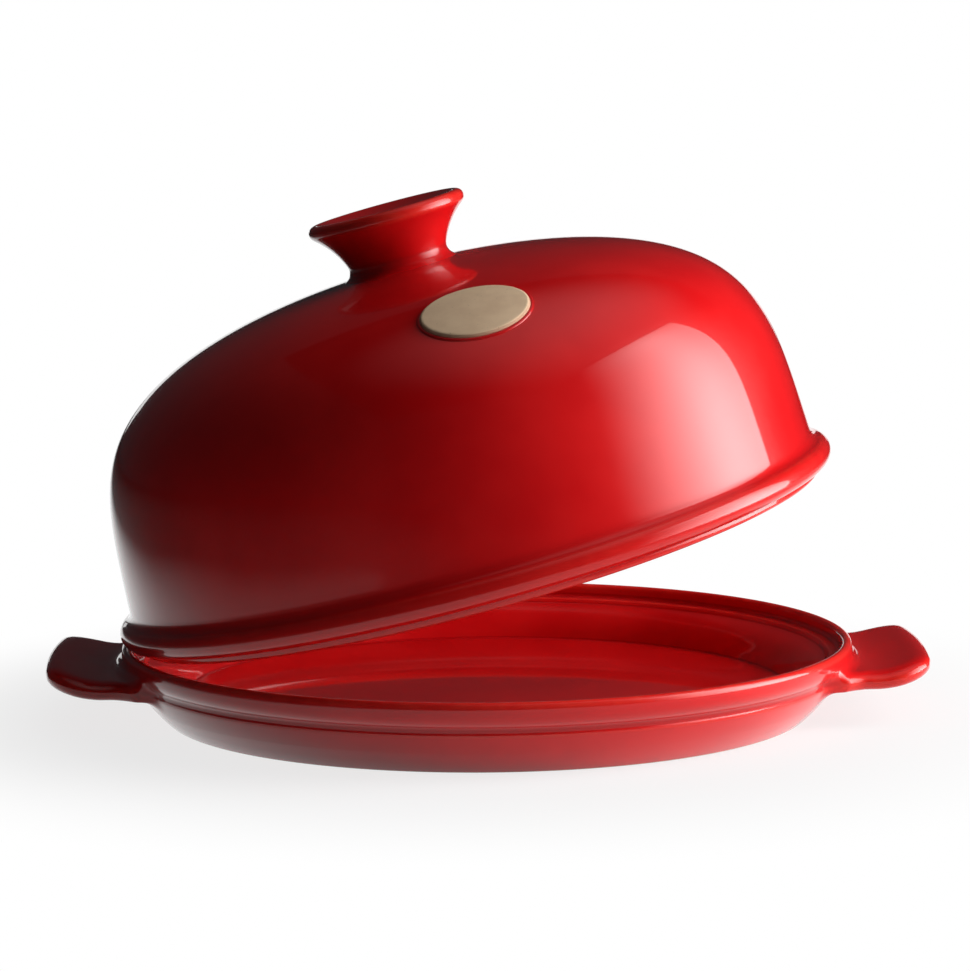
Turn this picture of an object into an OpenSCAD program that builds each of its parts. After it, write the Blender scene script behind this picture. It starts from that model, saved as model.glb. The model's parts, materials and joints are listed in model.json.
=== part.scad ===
// A bread cloche: a shallow glazed dish with two ears, and a tall domed lid with a
// trumpet-shaped knob and a bare oval medallion. The lid is shown raised at one side, with
// the bead round its mouth rocking on the rim of the dish. The origin is under the middle
// of the dish, on the table, with the ears along X.

/* [Dish] */
// Radius of the middle of the rounded rim
rim_r = 139.6; // [137:0.1:142]
// Height of the top of the rim above the table
rim_h = 28.4; // [26:0.1:32]
// Radius of the rounding along the top of the rim
lip_r = 2.2; // [1.8:0.1:2.4]
// Height of the groove under the rim band
groove_h = 17.2; // [15:0.1:19]
// How far the wall under the groove is set in from the outside of the rim
groove_in = 4.4; // [3.5:0.1:6]
// How far the foot ring is set in from the outside of the rim
foot_set = 16.2; // [14:0.1:22]
// Width of the flat under the foot ring
foot_w = 7; // [5:0.5:10]
// How far the underside is lifted inside the foot ring
foot_lift = 1.8; // [1:0.1:2.5]
// Thickness of the floor of the dish
floor_t = 6.2; // [5:0.1:8]
// Height of the ledge just inside the rim
ledge_h = 23; // [21:0.1:24]
// Width of that ledge
ledge_w = 5.6; // [4:0.1:6.5]
// Width of the hollow curve from the ledge down to the floor
cove_w = 14; // [11:0.5:18]

/* [Ears] */
// How far an ear reaches out past the rim
ear_reach = 28.2; // [23:0.1:33]
// Width of an ear, front to back
ear_w = 101; // [84:1:108]
// Thickness of an ear
ear_t = 6.6; // [5:0.1:8]
// Height of the top of an ear at its lowest, near the rim
ear_low = 20.8; // [19:0.1:22]
// How much the top of an ear rises from there to its tip
ear_rise = 5.2; // [3:0.1:7]
// Radius of the two corners of an ear, seen from above
ear_corner_r = 15; // [8:0.5:20]
// How much the end of an ear bows outward
ear_bow = 3; // [1:0.1:5]
// How much wider an ear is at its root on each side
ear_flare = 11; // [8:0.5:14]

/* [Lid] */
// How far the dome's wall, just above the bead, is set in from the bead's centre line
wall_set = 0.9; // [0.2:0.1:2.5]
// Height of the top of the dome above the lower edge of the lid
dome_h = 116.6; // [105:0.1:130]
// Thickness of the lid's wall
wall_t = 6.6; // [5:0.1:8]
// How far the wall leans in for each millimetre that it rises
wall_draft = 0.055; // [0.02:0.005:0.09]
// Squareness of the shoulder: more gives a flatter crown
shoulder = 4.45; // [3.5:0.05:5.5]
// Radius of the half-round bead
bead_r = 4.9; // [4.2:0.1:5.2]
// How far the bead's centre line lies inside the middle of the rim
bead_set = 2.3; // [2:0.1:2.8]
// Height of the bead's centre line above the lower edge of the lid
bead_up = 7.8; // [7:0.1:9]
// Play left between the collar and the inside of the rim
collar_play = 1.6; // [1.2:0.1:2.8]
// Rounding of the collar's lower edge
collar_edge = 1.4; // [1:0.1:2]

/* [Knob] */
// Radius of the knob's neck
neck_r = 19.3; // [16:0.1:23]
// Radius of the knob's flat foot on the crown
knob_foot_r = 22.3; // [20:0.1:26]
// Outer radius of the knob's lip
knob_r = 30.9; // [28:0.1:34]
// Height of the knob above its foot
knob_h = 24.4; // [21:0.1:28]
// Radius of the rounded lip of the knob
knob_lip_r = 3; // [2.2:0.1:3.6]
// Depth of the hollow in the top of the knob
knob_dish = 5; // [2:0.1:9]
// Height of the small curve from the knob's foot into its neck
knob_fillet = 4.4; // [3:0.1:6]

/* [Medallion] */
// Length of the oval medallion, round the dome
badge_w = 41; // [34:0.5:48]
// Height of the oval medallion, up the dome
badge_l = 35; // [28:0.5:38]
// How far its face stands out of the glaze
badge_raise = 1.6; // [1:0.1:2.5]
// How far its centre lies in from the dome's wall, seen from above
badge_set = 41.4; // [36:0.2:48]
// Direction of its centre round the lid, from the X axis
badge_heading = -76; // [-110:1:-60]

/* [Pose and fit] */
// How far the lid is raised at rest, in degrees from closed
open_tilt = 14.6; // [5:0.1:25]
// Gap left between the bead and the rim
seat_gap = 0.3; // [0.2:0.05:0.5]
// Depth by which the medallion sits in its pocket in the dome
badge_sink = 1.2; // [0.8:0.1:2]

/* [Hidden] */

dish_glaze = [0.62, 0.03, 0.05];
lid_glaze = [0.60, 0.02, 0.04];
bare_clay = [0.80, 0.74, 0.63];

turn_fn = 180;   // sides by which the revolved pieces are drawn
arc_steps = 8;   // segments of a short arc
dome_steps = 30; // segments of the dome's curve from bead to crown

soft = 0.9;       // size of the small roundings along the groove and the ledge
foot_edge = 1;    // rounding of the foot ring's outer edge
groove_cut = 0.3; // how far the groove cuts in behind the wall under it
wall_swell = 0.5; // how far the wall under the groove bulges
band_swell = 1;   // how far the band between the groove and the rim bulges
cove_sag = 2.6;   // how far the curve down to the floor hollows out
ear_hump = 18;    // height factor of the blend from the rim onto an ear
ear_belly = 5;    // height factor of the blend under an ear
knob_sweep = 2.6; // how far the flare under the knob's lip hollows in

// Everything round is tied to the rim of the dish
rim_out = rim_r + lip_r;
rim_in = rim_r - lip_r;
rim_mid_z = rim_h - lip_r;
foot_r = rim_out - foot_set;
ear_tip = rim_out + ear_reach;
bead_ring_r = rim_r - bead_set;
wall_r = bead_ring_r - wall_set;
collar_r = rim_in - collar_play;
badge_out = wall_r - badge_set;

// Height of the bead's centre line over the table: it rests on the rounded rim
bead_z = rim_mid_z + sqrt(pow(bead_r + lip_r + seat_gap, 2) - pow(bead_set, 2));
// Height at which the bead runs out into the dome's wall, in the lid's own frame
wall_z = bead_up + sqrt(pow(bead_r, 2) - pow(wall_set, 2));

// Points of an arc round c
function arc(c, r, from, to, n = arc_steps) =
    [for (i = [0:n]) c + r * [cos(from + (to - from) * i / n), sin(from + (to - from) * i / n)]];

// Points of a flat bow from p to q that swells by sag to the right of the way from p to q
function bow(p, q, sag, n = arc_steps) =
    let (d = q - p, side = [d[1], -d[0]] / norm(d))
    [for (i = [0:n]) let (t = i / n) p + d * t + side * sag * 4 * t * (1 - t)];

// One point of the dome's outline: turn goes from 0 at the bead to 90 on the axis
function dome_point(turn, r0, h) =
    let (rise = (h - wall_z) * pow(sin(turn), 2 / shoulder))
    [max(0, (r0 - wall_draft * rise) * cos(turn)), wall_z + rise];

// The dome's outline from the bead up to a given turn, with short steps near the bead
function dome_curve(r0, h, last) =
    [for (i = [0:dome_steps]) dome_point(last * pow(i / dome_steps, 1.7), r0, h)];

// Turn at which the dome's outline comes in to radius r, found by halving
function turn_at(r, low = 0, high = 90, n = 24) =
    let (mid = (low + high) / 2)
    n == 0 ? mid :
    dome_point(mid, wall_r, dome_h)[0] > r ? turn_at(r, mid, high, n - 1) : turn_at(r, low, mid, n - 1);

crown_turn = turn_at(knob_foot_r + 0.6);
crown_z = dome_point(crown_turn, wall_r, dome_h)[1];

// Puts the lid's own frame where the lid is: tilted about the bead's centre line at -X
module lid_at_rest() {
    translate([-bead_ring_r, 0, bead_z])
        rotate([0, -open_tilt, 0])
            translate([bead_ring_r, 0, -bead_up])
                children();
}

// ---- dish ----

// Half section of the dish, from the axis out along the underside and back over the rim
function dish_outline() =
    let (floor_z = foot_lift + floor_t,
         foot_in = foot_r - foot_w,
         ledge_in = rim_in - ledge_w,
         groove_r = rim_out - groove_in)
    concat(
        [[0, foot_lift], [foot_in - foot_lift, foot_lift], [foot_in, 0]],
        arc([foot_r - foot_edge, foot_edge], foot_edge, -90, -35, 4),
        bow([foot_r + 0.4, foot_edge], [groove_r, groove_h - soft], wall_swell),
        [[groove_r - groove_cut, groove_h]],
        bow([groove_r + groove_cut, groove_h + soft / 2], [rim_out, rim_mid_z], band_swell),
        arc([rim_r, rim_mid_z], lip_r, 12, 180, 12),
        bow([rim_in, ledge_h + soft], [rim_in - soft, ledge_h], soft / 4, 3),
        bow([ledge_in + soft, ledge_h], [ledge_in, ledge_h - soft], -soft / 4, 3),
        bow([ledge_in - 0.3, ledge_h - 2 * soft], [ledge_in - cove_w, floor_z], cove_sag, 10),
        [[0, floor_z]]);

// ---- ears ----

ear_root = rim_in - 2.4;   // where an ear starts, inside the wall of the dish
ear_low_x = rim_out + 5;   // where the top of an ear is lowest
ear_blend = ear_low_x - ear_root;
edge_depth = ear_t / 2;    // depth of the rounding round the ear's edge
ear_flats = 8;             // segments across an ear

// Distances of an ear's sections from the axis of the dish
function ear_sections() =
    let (shaped = ear_low_x + 2,
         corner = ear_tip - ear_corner_r)
    concat(
        [for (i = [0:5]) ear_root + (shaped - ear_root) * i / 5],
        [for (i = [1:2]) shaped + (corner - shaped) * i / 2],
        [for (i = [1:3]) corner + (ear_corner_r - edge_depth) * sin(30 * i)],
        [for (i = [1:4]) ear_tip - edge_depth + edge_depth * sin(i * 20)],
        [ear_tip]);

// How strongly a section still belongs to the blend into the rim: 1 at the root, 0 beyond
function ear_blended(x) = pow(max(0, ear_low_x - x) / ear_blend, 2);

// Half width of the ear at distance x: flared at the rim, round at the corners
function ear_half(x) =
    let (corner = ear_tip - ear_corner_r)
    ear_w / 2 + ear_flare * ear_blended(x)
    - (x > corner ? ear_corner_r - sqrt(max(0, pow(ear_corner_r, 2) - pow(x - corner, 2))) : 0);

// Half thickness, rounded away over the last few millimetres before the tip
function ear_thin(x) =
    let (into = max(0, x - (ear_tip - edge_depth)) / edge_depth)
    ear_t / 2 * max(0.12, sqrt(max(0, 1 - into * into)));

function ear_top(x) =
    ear_low + ear_rise * pow(max(0, x - ear_low_x) / (ear_tip - ear_low_x), 1.6);

// One closed ring of points round the ear at distance x, from its front edge over the top
function ear_ring(x) =
    let (t = ear_thin(x),
         near_rim = ear_blended(x),
         swell = near_rim * pow(1 - near_rim, 1.5),
         mid = ear_top(x) - ear_t / 2,
         up = t + ear_hump * swell,
         down = t + ear_belly * swell,
         flat = ear_half(x) - t,
         straight = max(0, x - rim_in) / (ear_tip - rim_in),
         over = concat(
             [for (a = [0:30:60]) [flat + t * cos(a), sin(a)]],
             [for (i = [0:ear_flats]) [flat * (1 - 2 * i / ear_flats), 1]],
             [for (a = [120:30:180]) [-flat + t * cos(a), sin(a)]]),
         under = [for (i = [len(over) - 2:-1:1]) [over[i][0], -over[i][1]]])
    [for (p = concat(over, under))
        let (on_rim = sqrt(x * x - p[0] * p[0]),
             on_end = x - ear_bow * pow(p[0] / (ear_w / 2), 2))
        [on_rim + (on_end - on_rim) * straight, p[0], mid + p[1] * (p[1] > 0 ? up : down)]];

// The ear is a loft: its rings are joined by quads cut in two, and both ends are closed
module ear() {
    rings = [for (x = ear_sections()) ear_ring(x)];
    m = len(rings[0]);
    last = (len(rings) - 1) * m;
    skin = [for (j = [0:m:last - m]) for (i = [0:m - 1])
               let (a = j + i, b = j + (i + 1) % m)
               each [[a, b + m, b], [a, a + m, b + m]]];
    end = concat([for (i = [0:m / 2 - 2]) [i, i + 1, m - i - 1]],
                 [for (i = [1:m / 2 - 1]) [i, m - i - 1, m - i]]);
    tip = [for (f = end) [last + f[0], last + f[2], last + f[1]]];
    polyhedron(points = [for (ring = rings) each ring], faces = concat(skin, end, tip));
}

module base_dish() {
    color(dish_glaze) {
        rotate_extrude($fn = turn_fn)
            polygon(dish_outline());
        ear();
        mirror([1, 0, 0]) ear();
    }
}

// ---- lid ----

// Half section of the lid's shell, up the outside and down the inside
function lid_outline() =
    let (out_from = -acos((collar_r - bead_ring_r) / bead_r),
         out_to = acos(-wall_set / bead_r),
         inner_r = wall_r - wall_t,
         outside = dome_curve(wall_r, dome_h, crown_turn),
         inside = dome_curve(inner_r, dome_h - wall_t, 90))
    concat(
        [[inner_r + collar_edge / 2, 0]],
        arc([collar_r - collar_edge, collar_edge], collar_edge, -90, 0, 4),
        arc([bead_ring_r, bead_up], bead_r, out_from, out_to, 16),
        [for (i = [1:dome_steps]) outside[i]],
        [[0, crown_z]],
        [for (i = [dome_steps:-1:0]) inside[i]],
        [[inner_r, collar_edge / 2]]);

module dome_shell() {
    color(lid_glaze) lid_at_rest()
        difference() {
            rotate_extrude($fn = turn_fn)
                polygon(lid_outline());
            difference() {
                oval_column();
                dome_layer(-badge_sink);
            }
        }
}

// ---- knob ----

// Half section of the knob: foot, hollow sweep of the neck, round lip and dished top
function knob_outline() =
    let (lip_c = [knob_r - knob_lip_r, knob_h - knob_lip_r],
         lip_from = -50,
         lip_to = 110,
         under_lip = lip_c + knob_lip_r * [cos(lip_from), sin(lip_from)])
    concat(
        [[0, 0]],
        bow([knob_foot_r, 0], [neck_r, knob_fillet], -knob_fillet / 5),
        bow([neck_r, knob_fillet + 0.4], under_lip, -knob_sweep, 12),
        arc(lip_c, knob_lip_r, lip_from + 6, lip_to, 12),
        bow(lip_c + knob_lip_r * [cos(lip_to + 8), sin(lip_to + 8)], [0, knob_h - knob_dish], -0.6, 10));

module knob() {
    color(lid_glaze) lid_at_rest()
        translate([0, 0, crown_z])
            rotate_extrude($fn = turn_fn)
                polygon(knob_outline());
}

// ---- medallion ----

badge_turn = turn_at(badge_out);
badge_foot = dome_point(badge_turn, wall_r, dome_h);
badge_fall = let (a = dome_point(badge_turn - 1, wall_r, dome_h),
                  b = dome_point(badge_turn + 1, wall_r, dome_h))
    atan2(b[1] - a[1], a[0] - b[0]);

// An oval column through the wall of the dome, square to the glaze
module oval_column() {
    rotate([0, 0, badge_heading])
        translate([badge_foot[0], 0, badge_foot[1]])
            rotate([0, badge_fall, 0])
                translate([0, 0, -10])
                    linear_extrude(20)
                        polygon([for (a = [0:5:355]) [badge_l / 2 * cos(a), badge_w / 2 * sin(a)]]);
}

// A solid dome whose surface lies outside the glaze by grow, or inside it if grow is negative
module dome_layer(grow) {
    rotate_extrude($fn = turn_fn)
        polygon(concat([[0, wall_z]], dome_curve(wall_r + grow, dome_h + grow, 90)));
}

module oval_medallion() {
    color(bare_clay) lid_at_rest()
        intersection() {
            oval_column();
            difference() {
                dome_layer(badge_raise);
                dome_layer(-badge_sink);
            }
        }
}

base_dish();
dome_shell();
knob();
oval_medallion();
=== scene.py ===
import json
import math

import bpy
import numpy as np
from mathutils import Matrix, Vector


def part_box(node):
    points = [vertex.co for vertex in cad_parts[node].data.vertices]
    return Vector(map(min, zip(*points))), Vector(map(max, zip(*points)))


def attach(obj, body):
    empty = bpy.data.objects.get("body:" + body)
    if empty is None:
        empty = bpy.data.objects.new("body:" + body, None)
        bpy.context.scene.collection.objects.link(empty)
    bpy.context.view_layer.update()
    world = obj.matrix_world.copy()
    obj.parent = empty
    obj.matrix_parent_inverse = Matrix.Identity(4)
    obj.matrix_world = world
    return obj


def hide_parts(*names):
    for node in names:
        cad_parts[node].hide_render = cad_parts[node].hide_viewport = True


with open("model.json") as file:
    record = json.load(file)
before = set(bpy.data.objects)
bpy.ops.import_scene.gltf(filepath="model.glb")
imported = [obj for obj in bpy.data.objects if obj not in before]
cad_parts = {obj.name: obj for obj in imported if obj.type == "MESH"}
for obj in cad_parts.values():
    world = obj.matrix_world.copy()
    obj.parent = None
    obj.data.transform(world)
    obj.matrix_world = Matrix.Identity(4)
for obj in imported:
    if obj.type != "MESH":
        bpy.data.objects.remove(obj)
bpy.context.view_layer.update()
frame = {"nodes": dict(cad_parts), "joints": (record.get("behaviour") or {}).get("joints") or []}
print("frame loaded:", ", ".join(sorted(frame["nodes"])))

mm = 0.001
hinge = frame["joints"][0]
pivot = Vector(hinge["pos_m"]) / mm  # centre of the lid's round bead, over the left side of the rim
restTilt = math.radians(-hinge["range_deg"][0])  # how far the lid stands open at rest

outlineStep = 0.1  # spacing in mm at which an outline is softened
bellReach = 4  # widths of the bell curve over which a point's neighbours count
rowSpread = {  # how the rows of a piece are shared out along its outline
    "straight": 0.25,
    "perTurn": 6.0,
    "sharpest": 2,
}
waves = {  # how a turned piece wavers: shares, starting turn, and mm of height for each radian
    "two": 0.6,
    "three": 0.4,
    "threeStart": 2.1,
    "twoClimb": 55,
    "threeClimb": 40,
    "fullRadius": 60,
}
edgeAndCreaseBends = {  # bends per mm between which edges are painted lighter (thin glaze and a painted highlight) and creases darker (pooled glaze and painted shade)
    "thinAndHighlightFrom": 0.08,
    "thinAndHighlightTo": 0.4,
    "poolAndShadeFrom": 0.05,
    "poolAndShadeTo": 0.5,
}


def arcLine(centre, radius, start, stop, steps=24):
    # points at equal turns round a centre, in degrees
    turn = np.radians(np.linspace(start, stop, steps))
    return np.stack([centre[0] + radius * np.cos(turn), centre[1] + radius * np.sin(turn)], 1)


def bowLine(start, stop, sag, steps=24):
    # the straight way from start to stop, pushed to its right by a parabola of height sag
    start = np.array(start, float)
    way = np.array(stop, float) - start
    along = np.linspace(0, 1, steps)[:, None]
    side = np.array([way[1], -way[0]]) / np.hypot(*way)
    return start + way * along + side * sag * 4 * along * (1 - along)


def softLine(points, blur):
    # walks the outline in equal steps and averages each point with its neighbours under a bell
    # curve of width blur; both ends lie on the axis, so the line goes on there as its mirror image
    gaps = np.hypot(*np.diff(points, axis=0).T)
    walked = np.concatenate([[0], np.cumsum(gaps)])
    steps = np.linspace(0, walked[-1], int(walked[-1] / outlineStep))
    line = np.stack([np.interp(steps, walked, points[:, k]) for k in (0, 1)], 1)
    reach = int(bellReach * blur / outlineStep)
    bell = np.exp(-0.5 * (np.arange(-reach, reach + 1) * outlineStep / blur) ** 2)
    bell = bell / bell.sum()
    longer = np.concatenate([line[reach:0:-1] * [-1, 1], line, line[-2:-reach - 2:-1] * [-1, 1]])
    soft = np.stack([np.convolve(longer[:, k], bell, "valid") for k in (0, 1)], 1)
    soft[[0, -1], 0] = 0
    return soft


def lineBend(line):
    # how sharply the line turns, per mm: above 0 on edges, below 0 in creases
    heading = np.unwrap(np.arctan2(*np.gradient(line, axis=0).T[::-1]))
    length = np.hypot(*np.gradient(line, axis=0).T)
    return np.gradient(heading) / np.maximum(length, 1e-6)


def pickRows(line, rows):
    # keeps that many points of a fine line, closer together where it turns
    turning = np.minimum(np.abs(lineBend(line)), rowSpread["sharpest"])
    effort = np.cumsum(rowSpread["straight"] + rowSpread["perTurn"] * turning)
    return np.interp(np.linspace(effort[0], effort[-1], rows), effort, np.arange(len(line)))


def takeRows(values, places):
    # values of a fine line at places between its points
    counted = np.arange(len(values))
    if values.ndim == 1:
        return np.interp(places, counted, values)
    return np.stack([np.interp(places, counted, values[:, k]) for k in range(values.shape[1])], 1)


def turned(outline, around, waver=0.0):
    # carries the outline round the axis; the radius wavers inward by a slow pair of waves, as
    # pressed clay does, and not at all on the axis
    radius = outline[:, 0:1]
    height = outline[:, 1:2]
    slow = 1 + waves["two"] * np.sin(2 * around + height / waves["twoClimb"])
    slow = slow + waves["three"] * np.sin(3 * around + waves["threeStart"] - height / waves["threeClimb"])
    radius = radius - waver * slow * np.clip(radius / waves["fullRadius"], 0, 1)
    return np.stack([radius * np.cos(around), radius * np.sin(around), height + 0 * around], -1)


def poled(grid):
    # the first and last row of a grid drawn together to one value each
    return np.concatenate([grid[0, :1], grid[1:-1].reshape(-1, *grid.shape[2:]), grid[-1, :1]])


def skin(name, grid, marks, material, looped=False):
    # a grid of rows and columns becomes a closed skin. The columns join round the seam; the rows
    # end in two poles, or join up as well if the piece is a ring. Marks are values kept per point
    rows, columns = grid.shape[:2]
    if looped:
        index = np.arange(rows * columns).reshape(rows, columns)
        index = np.concatenate([index, index[:1]])
        points = grid.reshape(-1, 3)
    else:
        index = np.zeros((rows, columns), int)
        index[1:-1] = 1 + np.arange((rows - 2) * columns).reshape(rows - 2, columns)
        index[-1] = 1 + (rows - 2) * columns
        points = poled(grid)
    following = np.roll(index, -1, axis=1)
    corners = np.stack([index[:-1], following[:-1], following[1:], index[1:]], -1)
    if looped:
        faces = corners.reshape(-1, 4).tolist()
    else:
        faces = corners[0][:, [0, 2, 3]].tolist()
        faces += corners[1:-1].reshape(-1, 4).tolist()
        faces += corners[-1][:, [0, 1, 2]].tolist()
    mesh = bpy.data.meshes.new(name)
    mesh.from_pydata((points * mm).tolist(), [], faces)
    mesh.polygons.foreach_set("use_smooth", np.ones(len(faces), bool))
    for mark, values in marks.items():
        layer = mesh.attributes.new(mark, "FLOAT", "POINT")
        flat = values.reshape(-1) if looped else poled(values)
        layer.data.foreach_set("value", flat.astype(np.float32))
    mesh.materials.append(material)
    mesh.update()
    piece = bpy.data.objects.new(name, mesh)
    bpy.context.scene.collection.objects.link(piece)
    return piece


def spread(values, columns):
    # one value for each row, the same all the way round
    return np.repeat(values[:, None], columns, 1)


def smoothStep(low, high, values):
    share = np.clip((values - low) / (high - low), 0, 1)
    return share * share * (3 - 2 * share)


def edgeAndCreaseMarks(bend, columns):
    # fired glaze thins over tight edges and gathers in creases; the edges are painted lighter as thin
    # glaze and a painted highlight, the creases darker as pooled glaze and painted shade
    thinAndHighlight = smoothStep(edgeAndCreaseBends["thinAndHighlightFrom"], edgeAndCreaseBends["thinAndHighlightTo"], bend)
    poolAndShade = smoothStep(edgeAndCreaseBends["poolAndShadeFrom"], edgeAndCreaseBends["poolAndShadeTo"], -bend)
    return {"thinAndHighlight": spread(thinAndHighlight, columns), "poolAndShade": spread(poolAndShade, columns)}


class Wire:
    # a node's output, with arithmetic on it written as Math nodes
    def __init__(self, recipe, socket):
        self.recipe = recipe
        self.socket = socket

    def math(self, operation, first, second, clamp=False):
        settings = {"operation": operation, "use_clamp": clamp}
        return self.recipe.add("ShaderNodeMath", settings, {0: first, 1: second})

    def __add__(self, other):
        return self.math("ADD", self, other)

    def __radd__(self, other):
        return self.math("ADD", other, self)

    def __sub__(self, other):
        return self.math("SUBTRACT", self, other)

    def __rsub__(self, other):
        return self.math("SUBTRACT", other, self)

    def __mul__(self, other):
        return self.math("MULTIPLY", self, other)

    def __rmul__(self, other):
        return self.math("MULTIPLY", other, self)

    def __pow__(self, other):
        return self.math("POWER", self, other)

    def step(self, low, high):
        # 0 below low, 1 above high, and a soft way between
        settings = {"interpolation_type": "SMOOTHSTEP"}
        values = {"Value": self, "From Min": low, "From Max": high}
        return self.recipe.add("ShaderNodeMapRange", settings, values)


class Recipe:
    # one material, or the world, as a list of nodes
    def __init__(self, name, owner=None):
        self.owner = owner or bpy.data.materials.new(name)
        self.owner.use_nodes = True
        self.tree = self.owner.node_tree
        self.tree.nodes.clear()

    def add(self, kind, settings=None, values=None, output=0):
        node = self.tree.nodes.new(kind)
        for key, setting in (settings or {}).items():
            setattr(node, key, setting)
        for key, value in (values or {}).items():
            if isinstance(value, Wire):
                self.tree.links.new(value.socket, node.inputs[key])
            else:
                node.inputs[key].default_value = value
        return Wire(self, node.outputs[output])

    def place(self):
        return self.add("ShaderNodeTexCoord", output="Object")

    def mark(self, name):
        return self.add("ShaderNodeAttribute", {"attribute_name": name}, output="Fac")

    def noise(self, size, detail=2.0, rough=0.5):
        # soft spots about as large as size, in mm
        values = {"Vector": self.place(), "Scale": 1 / (size * mm), "Detail": detail, "Roughness": rough}
        return self.add("ShaderNodeTexNoise", values=values)

    def dots(self, size):
        # distance from the nearest of many scattered points, a size in mm apart
        return self.add("ShaderNodeTexVoronoi", values={"Vector": self.place(), "Scale": 1 / (size * mm)})

    def blend(self, share, first, second):
        colour = {"data_type": "RGBA"}
        values = {0: share, 6: first, 7: second}
        return self.add("ShaderNodeMix", colour, values, output=2)

    def bump(self, height, depth):
        # height from 0 to 1, over a depth in mm
        values = {"Height": height, "Distance": depth * mm, "Strength": 1.0}
        return self.add("ShaderNodeBump", values=values)

    def finish(self, shader, kind="ShaderNodeOutputMaterial"):
        self.tree.links.new(shader.socket, self.tree.nodes.new(kind).inputs["Surface"])
        return self.owner


glazeColours = {
    "deep": (0.64, 0.0045, 0.0065, 1),
    "bright": (0.73, 0.0090, 0.0100, 1),
    # lighter orange red for edges: thin glaze and a painted highlight
    "edgeThinAndHighlight": (0.75, 0.0320, 0.0200, 1),
    # darker red for creases: pooled glaze and painted shade
    "creasePoolAndShade": (0.40, 0.0018, 0.0035, 1),
}
glaze = {
    "cloudSize": 46,
    "spotSize": 6,
    # how much lighter colour goes on edges: thin glaze and a painted highlight
    "thinAndHighlightLeast": 0.35,
    "thinAndHighlightMore": 0.4,
    # how much darker colour goes in creases: pooled glaze and painted shade
    "poolAndShadeShare": 0.65,
    "rippleSize": 34,
    "rippleDepth": 0.03,
    "rough": 0.285,  # from 0.275 down the noise filter takes the glaze for a mirror
    "rougher": 0.05,
    "ior": 1.2,
    "coatRough": 0.03,
    "coatIor": 1.36,
}
clayColours = {
    "pale": (0.90, 0.65, 0.42, 1),
    "warm": (0.82, 0.57, 0.36, 1),
    "grit": (0.50, 0.34, 0.20, 1),
    "stain": (0.42, 0.15, 0.09, 1),
}
clay = {
    "blotchSize": 9,
    "gritApart": 1.9,
    "gritPatch": 3,
    "gritShare": 0.7,
    "gritPit": 0.6,
    "grainSize": 0.45,
    "grainDepth": 0.09,
    "rough": 0.72,
    "rougher": 0.14,
    "stained": 0.55,
}


def glazeShader(recipe):
    # a clear glossy coat over opaque red: slow cloudiness, lighter over edges as thin glaze and a painted
    # highlight, deeper in creases as pooled glaze and painted shade
    cloud = recipe.noise(glaze["cloudSize"], detail=3).step(0.3, 0.7)
    colour = recipe.blend(cloud, glazeColours["deep"], glazeColours["bright"])
    spots = recipe.noise(glaze["spotSize"]).step(0.35, 0.7)
    # edges painted lighter orange: glaze thinning and a painted highlight
    breakingAndHighlight = recipe.mark("thinAndHighlight") * (glaze["thinAndHighlightLeast"] + glaze["thinAndHighlightMore"] * spots)
    colour = recipe.blend(breakingAndHighlight, colour, glazeColours["edgeThinAndHighlight"])
    # creases painted darker: pooled glaze and painted shade
    colour = recipe.blend(recipe.mark("poolAndShade") * glaze["poolAndShadeShare"], colour, glazeColours["creasePoolAndShade"])
    ripple = recipe.noise(glaze["rippleSize"], detail=0)
    values = {
        "Base Color": colour,
        "Roughness": glaze["rough"] + glaze["rougher"] * cloud,
        "IOR": glaze["ior"],
        "Coat Weight": 1.0,
        "Coat Roughness": glaze["coatRough"],
        "Coat IOR": glaze["coatIor"],
        "Normal": recipe.bump(ripple, glaze["rippleDepth"]),
    }
    return recipe.add("ShaderNodeBsdfPrincipled", values=values)


def clayShader(recipe, edge=None):
    # fired cream clay without glaze: blotches, dark grit and a sanded grain
    blotch = recipe.noise(clay["blotchSize"], detail=4, rough=0.6).step(0.3, 0.75)
    colour = recipe.blend(blotch, clayColours["pale"], clayColours["warm"])
    specks = 1 - recipe.dots(clay["gritApart"]).step(0.06, 0.16)
    grit = specks * recipe.noise(clay["gritPatch"]).step(0.5, 0.6)
    colour = recipe.blend(grit * clay["gritShare"], colour, clayColours["grit"])
    if edge is not None:
        colour = recipe.blend(edge, colour, clayColours["stain"])
    grain = recipe.noise(clay["grainSize"], detail=4, rough=0.7)
    height = grain + grit * -clay["gritPit"]
    values = {
        "Base Color": colour,
        "Roughness": clay["rough"] + clay["rougher"] * grain,
        "Normal": recipe.bump(height, clay["grainDepth"]),
    }
    return recipe.add("ShaderNodeBsdfPrincipled", values=values)


def makeDishGlaze():
    recipe = Recipe("dish_glaze")
    values = {0: recipe.mark("bare"), 1: glazeShader(recipe), 2: clayShader(recipe)}
    return recipe.finish(recipe.add("ShaderNodeMixShader", values=values))


def makeLidGlaze():
    recipe = Recipe("lid_glaze")
    return recipe.finish(glazeShader(recipe))


def makeBareClay():
    recipe = Recipe("bare_clay")
    return recipe.finish(clayShader(recipe, edge=recipe.mark("stained") * clay["stained"]))


dishGlaze = makeDishGlaze()
lidGlaze = makeLidGlaze()
bareClay = makeBareClay()
print("finishes mixed")


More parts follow.
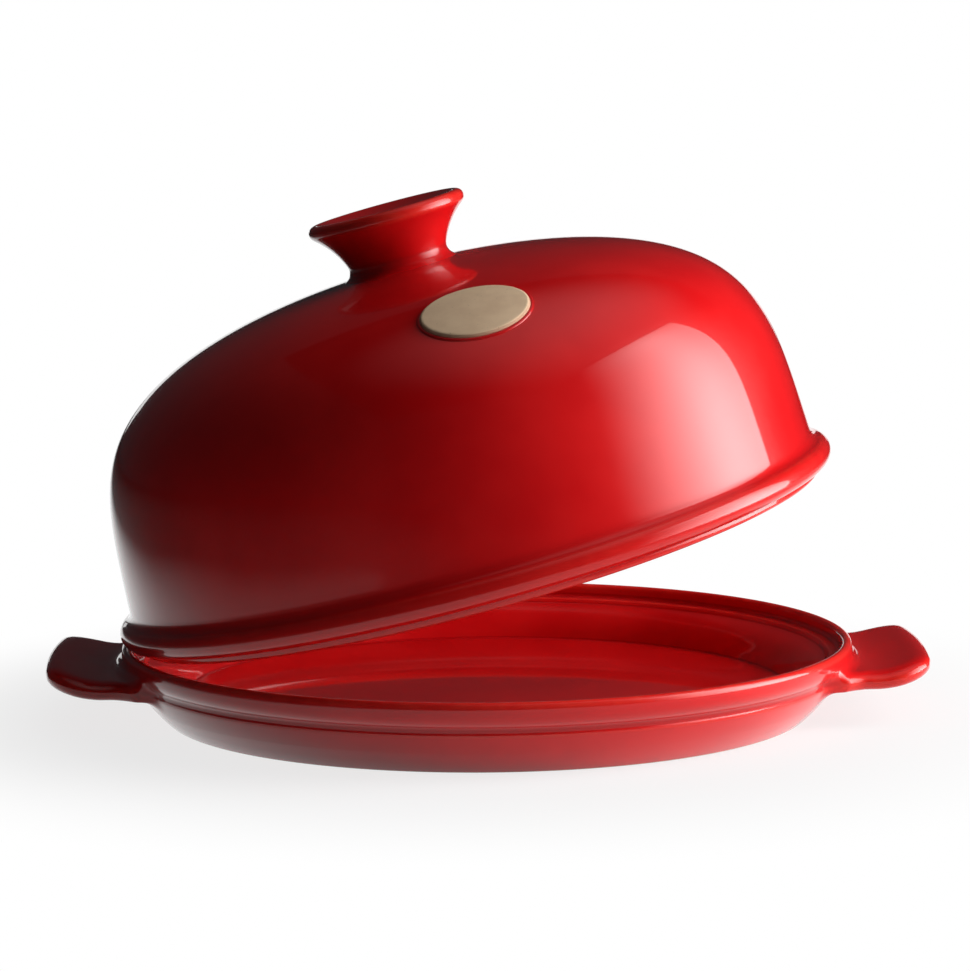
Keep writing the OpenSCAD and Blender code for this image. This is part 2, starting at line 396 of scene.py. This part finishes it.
dish = {  # in mm, and angles in degrees
    "rimRadius": 139.6,
    "lip": 2.2,
    "lipFrom": 12,
    "grooveHeight": 17.2,
    "grooveSet": 4.4,
    "grooveCut": 0.7,
    "grooveWide": 3.4,
    "footSet": 16.2,
    "footWidth": 7.0,
    "footLift": 1.8,
    "footEdge": 1.0,
    "footTo": -35,
    "wallStart": 0.4,
    "floor": 6.2,
    "ledgeHeight": 23.0,
    "ledgeWidth": 5.6,
    "coveStart": 0.3,
    "coveWidth": 14.0,
    "coveSag": 2.6,
    "edge": 0.9,
    "wallSwell": 0.8,
    "bandSwell": 1.1,
    "soften": 0.55,
    "waver": 0.08,
    "bareIn": 9,  # the foot is bare clay out from here, measured in from its outer edge
    "bareSoft": 7.5,
    "bareHigh": 0.45,  # and below this height
    "bareLow": 0.15,
    "columns": 420,
    "rowsUnder": 66,
    "rowsInside": 92,
}
ear = {
    "width": 101.0,
    "thick": 6.6,
    "low": 20.8,
    "rise": 5.2,
    "riseCurve": 1.6,
    "tipSwell": 1.9,
    "swellCurve": 1.2,
    "lowestOut": 5.0,
    "corner": 15.0,
    "bow": 3.0,
    "flare": 9.0,
    "flareLength": 10.0,
    "topRound": 9.0,
    "filletOver": 4.0,
    "filletUnder": 6.0,
    "filletUnderLength": 10.0,
    "fade": 4.0,  # reach over which an ear grows out of the wall
    # width of the lighter edge round the ear: thin glaze and a painted highlight
    "thinAndHighlightEdge": 1.6,
    "rows": 30,
    "crowd": 6,  # how much closer the columns stand along the sides of the ears
    "crowdShift": 0.02,
    "crowdWidth": 0.035,
    "fineTurns": 7201,
}


def dishOutline(size):
    # half section: out along the underside, up the wall and the band, over the rim, down to the
    # ledge, and by the cove to the floor
    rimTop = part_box("base_dish")[1].z / mm
    rimMiddle = rimTop - size["lip"]
    outer = size["rimRadius"] + size["lip"]
    inner = size["rimRadius"] - size["lip"]
    foot = outer - size["footSet"]
    groove = outer - size["grooveSet"]
    ledgeIn = inner - size["ledgeWidth"]
    floorTop = size["footLift"] + size["floor"]
    cut = size["grooveCut"]
    half = size["grooveWide"] / 2
    edge = size["edge"]
    ledge = size["ledgeHeight"]
    footIn = foot - size["footWidth"]
    wallFoot = [foot + size["wallStart"], size["footEdge"]]
    grooveLow = [groove, size["grooveHeight"] - half]
    grooveHigh = [groove + cut, size["grooveHeight"] + half]
    coveTop = [ledgeIn - size["coveStart"], ledge - 2 * edge]
    coveFoot = [ledgeIn - size["coveWidth"], floorTop]
    return np.concatenate([
        [[0, size["footLift"]], [footIn - size["footLift"], size["footLift"]], [footIn, 0]],
        arcLine([foot - size["footEdge"], size["footEdge"]], size["footEdge"], -90, size["footTo"]),
        bowLine(wallFoot, grooveLow, size["wallSwell"]),
        bowLine(grooveLow, grooveHigh, -cut),
        bowLine(grooveHigh, [outer, rimMiddle], size["bandSwell"]),
        arcLine([size["rimRadius"], rimMiddle], size["lip"], size["lipFrom"], 180),
        bowLine([inner, ledge + edge], [inner - edge, ledge], edge / 4),
        bowLine([ledgeIn + edge, ledge], [ledgeIn, ledge - edge], -edge / 4),
        bowLine(coveTop, coveFoot, size["coveSag"]),
        [[0, floorTop]],
    ])


def earDepth(size, around, radius, outer, tip):
    # distance inside the ear's plan outline: a rounded box with a bowed end, that flares where it
    # meets the rim
    across = np.abs(radius * np.sin(around))
    along = np.abs(radius * np.cos(around))
    fromRim = radius - outer
    flare = size["flare"] * np.maximum(0, 1 - fromRim / size["flareLength"]) ** 2
    end = tip - size["bow"] * (across / (size["width"] / 2)) ** 2
    beyondEnd = along - (end - size["corner"])
    beyondSide = across - (size["width"] / 2 + flare - size["corner"])
    outside = np.hypot(np.maximum(beyondEnd, 0), np.maximum(beyondSide, 0))
    return size["corner"] - outside - np.minimum(np.maximum(beyondEnd, beyondSide), 0)


def earReach(size, around, outer, tip):
    # how far past the rim the ear's outline lies in each direction, 0 beside the ears
    radius = np.arange(outer, tip + 2, outlineStep)[:, None]
    depth = earDepth(size, around[None, :], radius, outer, tip)
    last = len(radius) - 1 - np.argmax(depth[::-1] >= 0, axis=0)
    column = np.arange(len(around))
    inside = depth[last, column]
    past = depth[np.minimum(last + 1, len(radius) - 1), column]
    part = np.where(inside > past, inside / np.maximum(inside - past, 1e-9), 0)
    reach = radius[last, 0] - outer + np.clip(part, 0, 1) * outlineStep
    return np.where((depth >= 0).any(axis=0), reach, 0)


def earColumns(size, count, outer):
    # directions round the dish, closer together along the sides of the ears
    side = math.asin(size["width"] / 2 / outer)
    fine = np.linspace(0, 2 * math.pi, size["fineTurns"])
    fromX = np.arctan2(np.abs(np.sin(fine)), np.abs(np.cos(fine)))
    near = np.abs(fromX - side + size["crowdShift"])
    effort = np.cumsum(1 + size["crowd"] * np.exp(-0.5 * (near / size["crowdWidth"]) ** 2))
    return np.interp(np.linspace(effort[0], effort[-1], count + 1), effort, fine)[:-1]


def makeDish(size, earSize):
    line = softLine(dishOutline(size), size["soften"])
    bend = lineBend(line)
    outer = size["rimRadius"] + size["lip"]
    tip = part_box("base_dish")[1].x / mm
    half = earSize["thick"] / 2
    around = earColumns(earSize, size["columns"], outer)
    rimTop = int(np.argmax(line[:, 1]))
    lowJoin = earSize["low"] - earSize["thick"] - earSize["filletUnder"]
    highJoin = earSize["low"] + earSize["filletOver"]
    ring = outer - size["footSet"]
    first = int(np.argmax(line[:rimTop, 1] * (line[:rimTop, 0] > ring) > lowJoin))
    last = int(np.argmax(line[:rimTop, 1] > highJoin))

    # the ear is a fin that takes the place of the outline between the two joins: out along its
    # underside, round its edge and back along its top
    finRows = earSize["rows"]
    joined = np.linspace(first, last, 2 * finRows - 1)
    out = 0.5 - 0.5 * np.cos(np.linspace(0, math.pi, finRows))
    under = takeRows(line, joined)
    reach = earReach(earSize, around, outer, tip)
    end = outer + reach
    radiusUnder = under[0, 0] + (end - under[0, 0]) * out[:, None]
    radiusOver = under[-1, 0] + (end - under[-1, 0]) * out[::-1][1:, None]
    radius = np.concatenate([radiusUnder, radiusOver])
    depth = earDepth(earSize, around, radius, outer, tip)
    depth[finRows - 1] = 0
    isUnder = (np.arange(len(joined)) < finRows)[:, None]
    inwards = np.clip(depth / np.where(isUnder, half, earSize["topRound"]), 0, 1)
    rounding = np.sqrt(1 - (1 - inwards) ** 2)
    along = np.abs(radius * np.cos(around))
    lowest = outer + earSize["lowestOut"]
    outwards = np.clip((along - lowest) / (tip - lowest), 0, 1)
    middle = earSize["low"] - half + earSize["rise"] * outwards ** earSize["riseCurve"]
    nearWall = np.clip(1 - (radius - under[0, 0]) / earSize["filletUnderLength"], 0, 1)
    below = -(half + earSize["filletUnder"] * nearWall ** 2)
    over = earSize["filletOver"]
    fromBand = np.clip(radius - under[-1, 0], 0, over)
    filletOver = over - np.sqrt(over ** 2 - (over - fromBand) ** 2)
    above = half + filletOver + earSize["tipSwell"] * outwards ** earSize["swellCurve"]
    height = middle + rounding * np.where(isUnder, below, above)
    share = smoothStep(0, earSize["fade"], reach)
    radius = under[:, 0:1] * (1 - share) + radius * share
    height = under[:, 1:2] * (1 - share) + height * share
    fin = np.stack([radius * np.cos(around), radius * np.sin(around), height], -1)

    before = pickRows(line[:first + 1], size["rowsUnder"])[:-1]
    after = last + pickRows(line[last:], size["rowsInside"])[1:]
    grid = np.concatenate([
        turned(takeRows(line, before), around, size["waver"]),
        fin,
        turned(takeRows(line, after), around, size["waver"]),
    ])
    marks = edgeAndCreaseMarks(takeRows(bend, np.concatenate([before, joined, after])), len(around))
    onFin = slice(len(before), len(before) + len(joined))
    # the ear's outline edges are painted lighter, as thin glaze and a painted highlight, and the crease
    # darkening fades out over the ear
    edge = np.exp(-(depth / earSize["thinAndHighlightEdge"]) ** 2)
    marks["thinAndHighlight"][onFin] = marks["thinAndHighlight"][onFin] * (1 - share) + edge * share
    marks["poolAndShade"][onFin] = marks["poolAndShade"][onFin] * (1 - share)
    low = smoothStep(size["bareHigh"], size["bareLow"], grid[..., 2])
    fromAxis = np.hypot(grid[..., 0], grid[..., 1])
    marks["bare"] = low * smoothStep(ring - size["bareIn"], ring - size["bareSoft"], fromAxis)
    piece = skin("dish_body", grid, marks, dishGlaze)
    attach(piece, "dish")
    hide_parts("base_dish")
    return piece


makeDish(dish, ear)
print("dish turned, with its ears drawn out")


lid = {
    "domeHeight": 116.6,
    "wall": 6.6,
    "wallSet": 0.9,
    "draft": 0.055,
    "shoulder": 4.45,
    "bead": 4.9,
    "beadUp": 7.8,
    "beadTo": 60,
    "cove": 3.0,
    "coveSag": 0.75,
    "collarSet": 1.5,
    "collarEdge": 1.4,
    "soften": 0.5,
    "waver": 0.09,
    "beadSteps": 60,
    "domeSteps": 400,
    "domeCrowd": 1.7,  # above 1 the steps are shorter near the bead
    "rows": 200,
    "columns": 400,
}
lid["beadRing"] = -pivot.x
lid["wallRadius"] = lid["beadRing"] - lid["wallSet"]
lid["wallFoot"] = lid["beadUp"] + math.sqrt(lid["bead"] ** 2 - lid["wallSet"] ** 2)


def onLid(points):
    # from the lid's own frame to its place at rest: tilted about the bead's centre at the left
    cosine = math.cos(restTilt)
    sine = math.sin(restTilt)
    sideways = points[..., 0] + lid["beadRing"]
    upwards = points[..., 2] - lid["beadUp"]
    return np.stack([
        pivot.x + cosine * sideways - sine * upwards,
        points[..., 1],
        pivot.z + sine * sideways + cosine * upwards,
    ], -1)


def domeLine(size, inset):
    # the dome's outline from the bead to the axis: the height rises with a power of the turn's
    # sine, so that the shoulder is squarer than a circle's, and the wall leans in as it rises
    turn = np.radians(90 * np.linspace(0, 1, size["domeSteps"]) ** size["domeCrowd"])
    height = (size["domeHeight"] - inset - size["wallFoot"]) * np.sin(turn) ** (2 / size["shoulder"])
    radius = (size["wallRadius"] - inset - size["draft"] * height) * np.cos(turn)
    return np.stack([radius, size["wallFoot"] + height], 1)


def lidOutline(size):
    # half section: out under the ceiling, down the inside, round the collar and the bead, and up
    # the outside to the crown
    innerRadius = size["wallRadius"] - size["wall"]
    ring = size["beadRing"]
    collar = ring - size["collarSet"]
    edge = size["collarEdge"]
    beadFrom = -math.degrees(math.acos(-size["collarSet"] / size["bead"]))
    bead = arcLine([ring, size["beadUp"]], size["bead"], beadFrom, size["beadTo"], size["beadSteps"])
    wall = domeLine(size, 0)
    wall = wall[wall[:, 1] > size["wallFoot"] + size["cove"]]
    return np.concatenate([
        domeLine(size, size["wall"])[::-1],
        [[innerRadius, edge / 2], [innerRadius + edge / 2, 0]],
        arcLine([collar - edge, edge], edge, -90, 0),
        bead,
        bowLine(bead[-1], wall[0], -size["coveSag"]),
        wall,
    ])


def makeLid(size):
    line = softLine(lidOutline(size), size["soften"])
    rows = pickRows(line, size["rows"])
    around = np.linspace(0, 2 * math.pi, size["columns"], endpoint=False)
    grid = turned(takeRows(line, rows), around, size["waver"])
    marks = edgeAndCreaseMarks(takeRows(lineBend(line), rows), len(around))
    piece = skin("lid_dome", onLid(grid), marks, lidGlaze)
    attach(piece, "lid")
    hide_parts("dome_shell")
    return piece


makeLid(lid)
print("lid turned")


knob = {
    "footRadius": 22.3,
    "seat": 0.6,  # the crown's height is taken this far outside the foot
    "sunk": 0.6,
    "spread": 0.9,
    "neck": 19.3,
    "neckStart": 0.4,
    "fillet": 4.4,
    "radius": 30.9,
    "height": 24.4,
    "lip": 3.0,
    "underLip": -58,
    "lipFrom": -44,
    "lipTo": 110,
    "overLip": 118,
    "hollow": 5.0,
    "hollowSag": 0.6,
    "sweep": 1.2,
    "soften": 0.85,
    "rows": 150,
    "columns": 260,
}


def crownHeight(size, radius):
    # height of the outside of the dome at a distance from its axis
    line = domeLine(size, 0)[::-1]
    return np.interp(radius, line[:, 0], line[:, 1])


def knobOutline(size):
    # half section: foot, hollow curve of the neck, round lip and dished top
    lip = size["lip"]
    centre = np.array([size["radius"] - lip, size["height"] - lip])
    under = math.radians(size["underLip"])
    over = math.radians(size["overLip"])
    underLip = centre + lip * np.array([math.cos(under), math.sin(under)])
    overLip = centre + lip * np.array([math.cos(over), math.sin(over)])
    neck = size["neck"]
    fillet = size["fillet"]
    return np.concatenate([
        [[0, -size["sunk"]], [size["footRadius"] + size["spread"], -size["sunk"]]],
        bowLine([size["footRadius"], 0], [neck, fillet], -fillet / 5),
        bowLine([neck, fillet + size["neckStart"]], underLip, -size["sweep"]),
        arcLine(centre, lip, size["lipFrom"], size["lipTo"]),
        bowLine(overLip, [0, size["height"] - size["hollow"]], -size["hollowSag"]),
    ])


def makeKnob(size):
    line = softLine(knobOutline(size), size["soften"])
    line[:, 1] += crownHeight(lid, size["footRadius"] + size["seat"])
    rows = pickRows(line, size["rows"])
    around = np.linspace(0, 2 * math.pi, size["columns"], endpoint=False)
    grid = turned(takeRows(line, rows), around)
    marks = edgeAndCreaseMarks(takeRows(lineBend(line), rows), len(around))
    piece = skin("lid_knob", onLid(grid), marks, lidGlaze)
    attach(piece, "lid")
    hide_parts("knob")
    return piece


makeKnob(knob)
print("knob stuck on")


medallion = {
    "wide": 41.0,
    "tall": 35.0,
    "inwards": 17,  # from the edge to the middle
    "raised": 1.6,
    "sunk": 1.2,
    "edge": 1.0,
    "uneven": 0.05,
    "stainWide": 0.7,
    "stainLow": 0.2,
    "set": 41.4,
    "heading": -76.0,
    "pushes": 12,  # rounds in which a point finds the dome
    "columns": 220,
    "rowsUnder": 10,
    "rowsSide": 4,
    "rowsEdge": 12,
    "rowsFace": 33,
    "lipWidth": 1.5,
    "lipOut": 0.35,
    "lipHeight": 0.55,
    # how dark the glaze rope round the medallion is painted: pooled glaze and painted shade
    "lipPoolAndShade": 0.5,
    "lipColumns": 20,
    "lipRows": 260,
}


def overDome(down, side, lift, size):
    # lays flat offsets down the slope and sideways on the dome: each point is pushed along the
    # oval's axis until it meets the dome, then lifted along that axis
    line = domeLine(lid, 0)[::-1]
    steep = np.gradient(line[:, 1], np.maximum(line[:, 0], 1e-6) + np.arange(len(line)) * 1e-9)
    centre = lid["wallRadius"] - size["set"]
    lean = -math.atan(np.interp(centre, line[:, 0], steep))
    axis = np.array([math.sin(lean), 0, math.cos(lean)])
    slope = np.array([math.cos(lean), 0, -math.sin(lean)])
    middle = np.array([centre, 0, np.interp(centre, line[:, 0], line[:, 1])])
    start = middle + down[..., None] * slope + side[..., None] * np.array([0, 1, 0])
    push = np.zeros(down.shape)
    for _ in range(size["pushes"]):
        point = start + push[..., None] * axis
        radius = np.hypot(point[..., 0], point[..., 1])
        above = point[..., 2] - np.interp(radius, line[:, 0], line[:, 1])
        fall = np.interp(radius, line[:, 0], steep) * point[..., 0] / radius * axis[0]
        push = push - above / (axis[2] - fall)
    point = start + (push + lift)[..., None] * axis
    turn = math.radians(size["heading"])
    return np.stack([
        point[..., 0] * math.cos(turn) - point[..., 1] * math.sin(turn),
        point[..., 0] * math.sin(turn) + point[..., 1] * math.cos(turn),
        point[..., 2],
    ], -1)


def makeMedallion(size):
    # rows run from the middle of the underside out, up the edge, over its rounding and back to
    # the middle of the face
    around = np.linspace(0, 2 * math.pi, size["columns"], endpoint=False)
    quarter = np.linspace(0, math.pi / 2, size["rowsEdge"])
    edge = size["edge"]
    inwards = size["inwards"]
    inset = np.concatenate([
        np.linspace(inwards, 0, size["rowsUnder"]),
        np.zeros(size["rowsSide"]),
        edge * (1 - np.cos(quarter)),
        np.linspace(edge, inwards, size["rowsFace"] + 1)[1:],
    ])
    lift = np.concatenate([
        np.full(size["rowsUnder"], -size["sunk"]),
        np.linspace(-size["sunk"], size["raised"] - edge, size["rowsSide"] + 2)[1:-1],
        size["raised"] - edge + edge * np.sin(quarter),
        np.full(size["rowsFace"], size["raised"]),
    ])
    share = np.clip(1 - inset / inwards, 0, 1)[:, None]
    rough = size["uneven"] * np.sin(3 * around + 1) * np.sin(5 * around) * share
    down = (size["tall"] / 2 * share + rough) * np.cos(around)
    side = (size["wide"] / 2 * share + rough) * np.sin(around)
    grid = overDome(down, side, spread(lift, len(around)), size)[:, ::-1]
    belowFace = lift < size["raised"] - size["stainLow"]
    stained = spread(np.exp(-(inset / size["stainWide"]) ** 2) * belowFace, len(around))
    piece = skin("oval_face", onLid(grid), {"stained": stained}, bareClay)
    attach(piece, "lid")
    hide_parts("oval_medallion")


def makeGlazeLip(size):
    # the glaze stands up a little where it meets the medallion: a low round rope, half sunk
    around = np.linspace(0, 2 * math.pi, size["lipRows"], endpoint=False)[:, None]
    turn = np.linspace(0, 2 * math.pi, size["lipColumns"], endpoint=False)[None, :]
    outward = size["lipOut"] * size["lipWidth"] + size["lipWidth"] / 2 * np.cos(turn)
    lift = size["lipHeight"] * np.sin(turn)
    down = (size["tall"] / 2 + outward) * np.cos(around)
    side = (size["wide"] / 2 + outward) * np.sin(around)
    grid = overDome(down, side, lift + 0 * around, size)
    # the rope is painted darker all round, as pooled glaze and painted shade, and gets no lighter edge
    marks = {"thinAndHighlight": np.zeros(grid.shape[:2]), "poolAndShade": np.full(grid.shape[:2], size["lipPoolAndShade"])}
    piece = skin("glaze_lip", onLid(grid), marks, lidGlaze, looped=True)
    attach(piece, "lid")


makeMedallion(medallion)
makeGlazeLip(medallion)
print("medallion pressed in")


studio = {  # lengths in metres
    "floorHalf": 5.0,
    "floorColour": (0.80, 0.80, 0.80, 1),
    "farColour": (0.26, 0.26, 0.26, 1),
    "nearShare": 0.78,
    "nearFrom": 0.15,
    "nearTo": 0.28,
    "tableFrom": 0.20,
    "tableTo": 0.38,
    "stripSlant": 0.0262,  # the camera looks this much off the Y axis
    "stripStart": 1.487,  # and from this far in front
    "stripSpread": 0.1253,
    "stripFrom": 0.02,
    "stripTo": 0.17,
    "frontFrom": -0.56,
    "frontTo": -0.43,
    "backHigh": 0.32,
    "backHalf": 1.4,
    "worldColour": (0.020, 0.021, 0.023, 1),
}
panel = {  # in metres; the shares along it and up it go from 0 to 1
    "heading": 75.0,
    "away": 0.95,
    "near": -0.95,
    "far": 0.67,
    "height": 1.75,
    "even": 6.8,
    "peak": 6.6,
    "litFrom": 0.22,
    "litTo": 0.80,
    "farLoss": 0.5,
    "farLossFrom": 0.65,
    "peakTo": 0.62,
    "topFrom": 0.6,
}
overhead = {
    "middle": (0.45, 0.10, 1.35),
    "half": 1.30,
    "soft": 1.25,
    "strength": 0.6,
}
view = {  # in mm and degrees; the focal length in pixels of the picture
    "away": 1500.0,
    "height": 7.337,
    "heading": -1.5,
    "roll": -0.549,
    "target": (-0.149, 0.0, 87.818),
    "focal": 3871.4,
    "imageWidth": 970,
}


def stagePlane(name, corners, material):
    mesh = bpy.data.meshes.new(name)
    mesh.from_pydata(corners, [], [(0, 1, 2, 3)])
    mesh.materials.append(material)
    plane = bpy.data.objects.new(name, mesh)
    bpy.context.scene.collection.objects.link(plane)
    return plane


def seenRays(recipe):
    # 1 for rays from the camera and for those that a glossy or clear surface sends on
    kinds = [recipe.add("ShaderNodeLightPath", output=kind)
             for kind in ("Is Camera Ray", "Is Glossy Ray", "Is Transmission Ray")]
    return kinds[0].math("ADD", kinds[0] + kinds[1], kinds[2], clamp=True)


def glowing(recipe, share, strength):
    # gives off light of that strength where share is 1, and none where it is 0
    dark = recipe.add("ShaderNodeEmission", values={"Strength": 0.0})
    glow = recipe.add("ShaderNodeEmission", values={"Strength": strength})
    return recipe.add("ShaderNodeMixShader", values={0: share, 1: dark, 2: glow})


def acrossAndUp(recipe, place):
    # the X and the Y of a place
    return [recipe.add("ShaderNodeSeparateXYZ", values={0: place}, output=axis) for axis in "XY"]


def makeFloor(size):
    # pale floor, white where the picture shows it; near the object it keeps part of the shadow,
    # and it turns darker beside the strip that the camera looks along
    recipe = Recipe("pale_floor")
    x, y = acrossAndUp(recipe, recipe.place())
    away = (x * x + y * y) ** 0.5
    sideways = x - y * size["stripSlant"]
    aside = (sideways * sideways) ** 0.5
    beside = aside - (y + size["stripStart"]) * size["stripSpread"]
    strip = 1 - beside.step(size["stripFrom"], size["stripTo"])
    strip = strip * y.step(size["frontFrom"], size["frontTo"])
    table = strip.math("MAXIMUM", strip, 1 - away.step(size["tableFrom"], size["tableTo"]))
    near = size["nearShare"] + (1 - size["nearShare"]) * away.step(size["nearFrom"], size["nearTo"])
    pale = recipe.add("ShaderNodeBsdfDiffuse", values={"Color": size["floorColour"]})
    far = recipe.add("ShaderNodeBsdfDiffuse", values={"Color": size["farColour"]})
    matte = recipe.add("ShaderNodeMixShader", values={0: table, 1: far, 2: pale})
    glow = recipe.add("ShaderNodeEmission", values={"Strength": 1.0})
    share = table * near * seenRays(recipe)
    material = recipe.finish(recipe.add("ShaderNodeMixShader", values={0: share, 1: matte, 2: glow}))
    half = size["floorHalf"]
    corners = [(-half, -half, 0), (half, -half, 0), (half, half, 0), (-half, half, 0)]
    stagePlane("floor", corners, material)
    wall = Recipe("pale_wall")
    wide = size["backHalf"]
    high = size["backHigh"]
    corners = [(-wide, half, 0), (wide, half, 0), (wide, half, high), (-wide, half, high)]
    stagePlane("backdrop", corners, wall.finish(glowing(wall, seenRays(wall), 1.0)))


def makeOverhead(size):
    # a wide dim sheet above, so that the crown and the left side are not black
    middleX, middleY, z = size["middle"]
    recipe = Recipe("overhead_light")
    x, y = acrossAndUp(recipe, recipe.place())
    off = ((x - middleX) ** 2 + (y - middleY) ** 2) ** 0.5
    glow = recipe.finish(glowing(recipe, 1 - off.step(0, size["soft"]), size["strength"]))
    left = middleX - size["half"]
    right = middleX + size["half"]
    front = middleY - size["half"]
    rear = middleY + size["half"]
    corners = [(left, front, z), (right, front, z), (right, rear, z), (left, rear, z)]
    stagePlane("light_overhead", corners, glow).visible_camera = False


def makePanel(size):
    # one large soft panel to the right: brightest low down and towards its far end, and fading
    # out to the near end and the top
    turn = math.radians(size["heading"])
    middle = Vector((math.sin(turn), -math.cos(turn), 0)) * size["away"]
    along = Vector((math.cos(turn), math.sin(turn), 0))
    up = Vector((0, 0, size["height"]))
    near = middle + along * size["near"]
    far = middle + along * size["far"]
    corners = [near, far, far + up, near + up]
    recipe = Recipe("panel_light")
    x, y = acrossAndUp(recipe, recipe.add("ShaderNodeUVMap", {"uv_map": "UVMap"}))
    sideways = x.step(size["litFrom"], size["litTo"])
    sideways = sideways * (1 - size["farLoss"] * x.step(size["farLossFrom"], 1.0))
    strongest = size["even"] + size["peak"]
    upwards = 1 - size["peak"] / strongest * y.step(0.0, size["peakTo"])
    share = sideways * upwards * (1 - y.step(size["topFrom"], 1.0))
    glow = recipe.finish(glowing(recipe, share, strongest))
    plane = stagePlane("light_panel", [tuple(c) for c in corners], glow)
    layer = plane.data.uv_layers.new(name="UVMap")
    layer.data.foreach_set("uv", [0, 0, 1, 0, 1, 1, 0, 1])
    plane.visible_camera = False


def makeCamera(size):
    # stands where the photograph was taken from
    height = math.radians(size["height"])
    heading = math.radians(size["heading"])
    roll = math.radians(size["roll"])
    level = math.cos(height)
    back = Vector((math.sin(heading) * level, -math.cos(heading) * level, math.sin(height)))
    right = (-back).cross(Vector((0, 0, 1))).normalized()
    up = right.cross(-back)
    across = right * math.cos(roll) + up * math.sin(roll)
    upright = up * math.cos(roll) - right * math.sin(roll)
    spot = (Vector(size["target"]) + back * size["away"]) * mm
    lens = bpy.data.cameras.new("camera")
    lens.sensor_fit = "HORIZONTAL"
    lens.sensor_width = 36
    lens.lens = size["focal"] * lens.sensor_width / size["imageWidth"]
    camera = bpy.data.objects.new("camera", lens)
    bpy.context.scene.collection.objects.link(camera)
    camera.matrix_world = Matrix((
        (across.x, upright.x, back.x, spot.x),
        (across.y, upright.y, back.y, spot.y),
        (across.z, upright.z, back.z, spot.z),
        (0, 0, 0, 1),
    ))
    bpy.context.scene.camera = camera


def makeWorld(size):
    world = bpy.data.worlds.new("studio")
    bpy.context.scene.world = world
    recipe = Recipe("studio", world)
    glow = recipe.add("ShaderNodeBackground", values={"Color": size["worldColour"], "Strength": 1.0})
    recipe.finish(glow, "ShaderNodeOutputWorld")


makeFloor(studio)
makePanel(panel)
makeOverhead(overhead)
makeWorld(studio)
makeCamera(view)
bpy.context.scene.view_settings.view_transform = "Standard"
print("studio lit")
